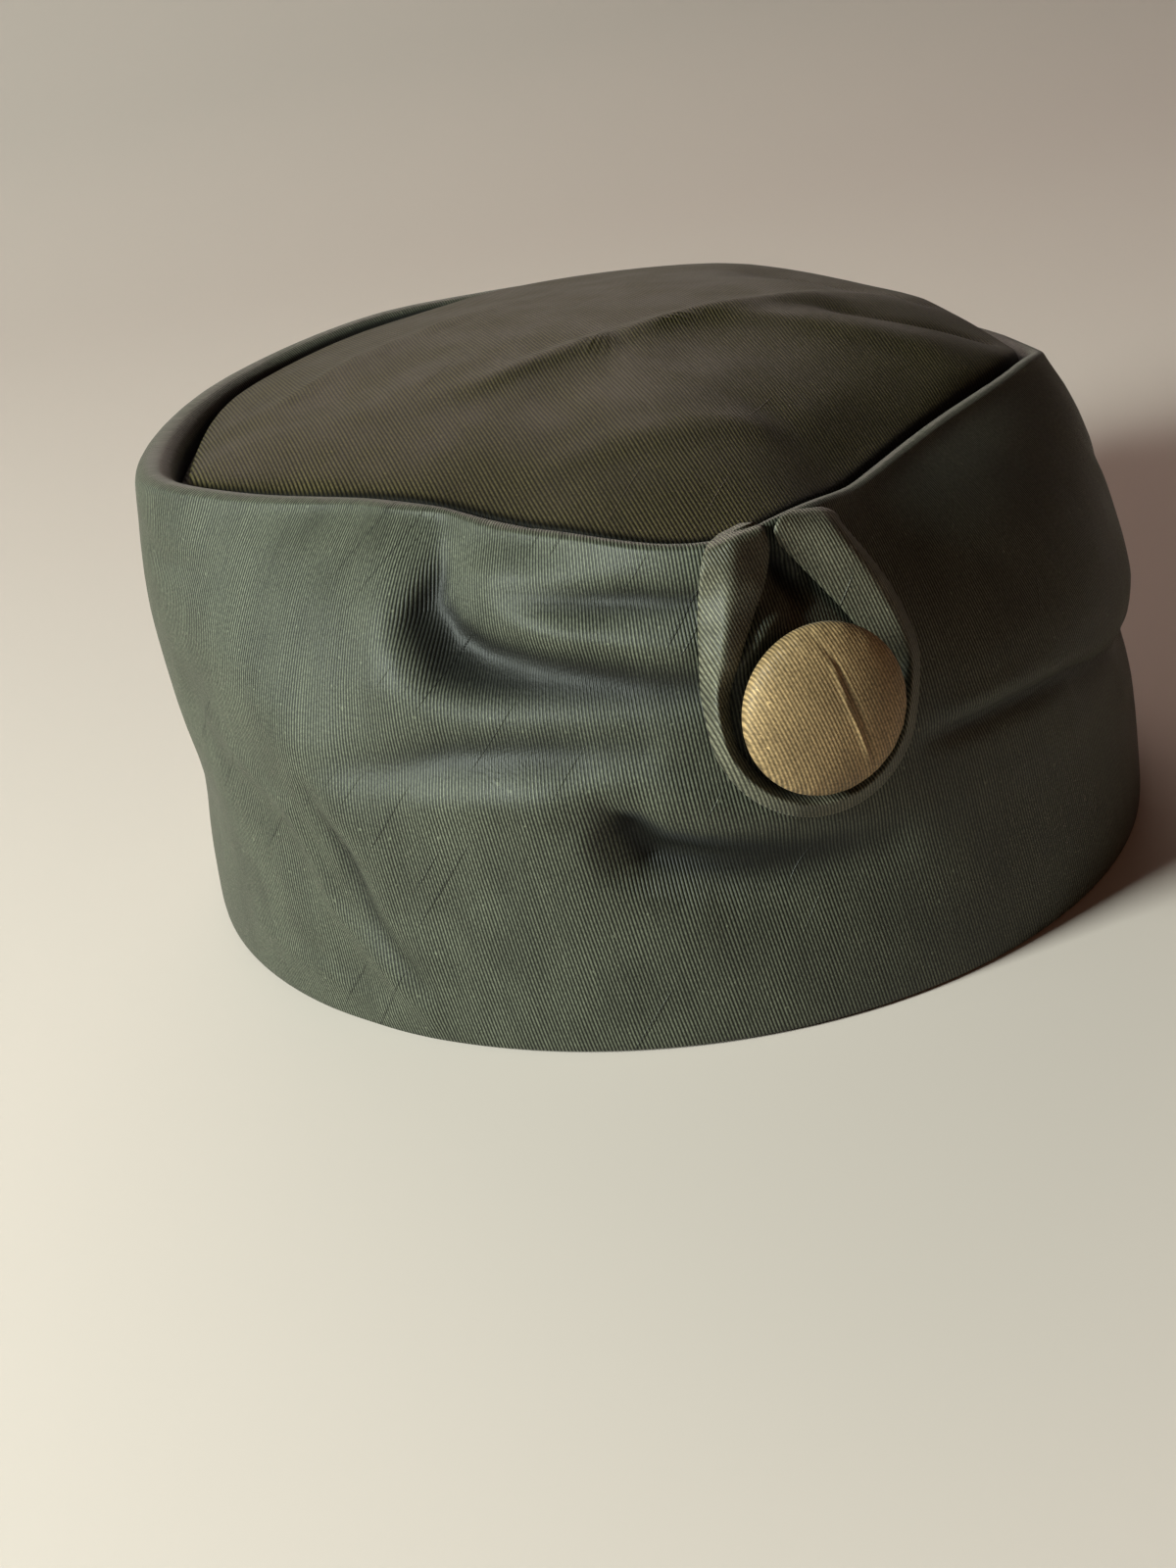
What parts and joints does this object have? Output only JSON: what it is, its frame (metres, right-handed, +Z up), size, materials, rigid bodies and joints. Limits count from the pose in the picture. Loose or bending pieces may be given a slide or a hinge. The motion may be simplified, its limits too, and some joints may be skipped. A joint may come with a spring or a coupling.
{
  "type": "pillbox hat",
  "caption": "Draped pillbox hat: deep flared side band, soft crown tip with three corners, and a padded cloth loop round a covered button at the front.",
  "frame": {"origin": "middle of the hat's bounding box in plan, on the surface that the hem rests on", "axes": "+Z up from the hem to the crown, -Y towards the front with the button, +X towards the wearer's left"},
  "size_m": [0.2362, 0.2488, 0.1268],
  "materials": {
    "band_satin": "olive green satin twill with upright ribs",
    "tip_satin": "olive brown satin twill",
    "loop_satin": "light grey olive satin twill",
    "button_satin": "golden bronze satin twill"
  },
  "bodies": {
    "root": {"side_band": "band_satin", "crown_tip": "tip_satin", "ornament_loop": "loop_satin", "button": "button_satin", "button_shank": "band_satin"}
  },
  "joints": []
}
